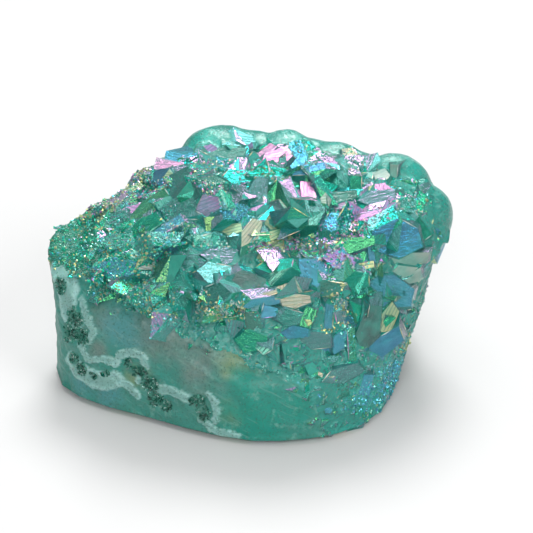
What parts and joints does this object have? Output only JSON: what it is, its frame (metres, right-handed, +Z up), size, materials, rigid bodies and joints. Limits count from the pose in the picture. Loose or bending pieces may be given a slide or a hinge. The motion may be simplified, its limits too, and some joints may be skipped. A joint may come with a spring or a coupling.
{
  "type": "aqua aura crystal cluster",
  "caption": "Rough lump of pale chalcedony matrix crusted with intergrown glassy crystals under a teal iridescent metal-vapour coat, resting on a flat sawn base.",
  "frame": {"origin": "middle of the flat base the lump rests on", "axes": "+Z up from the flat base; +X along the lump's long side, to the right of someone facing the matrix wall; +Y towards the rounded rim lumps at the back"},
  "size_m": [0.0838, 0.0618, 0.0436],
  "materials": {
    "aura_crystal": "teal see-through crystal under a thin iridescent metal coat, with waxy grey-green chalcedony matrix on the lower walls"
  },
  "bodies": {
    "root": {"crystal_cluster": "aura_crystal"}
  },
  "joints": []
}
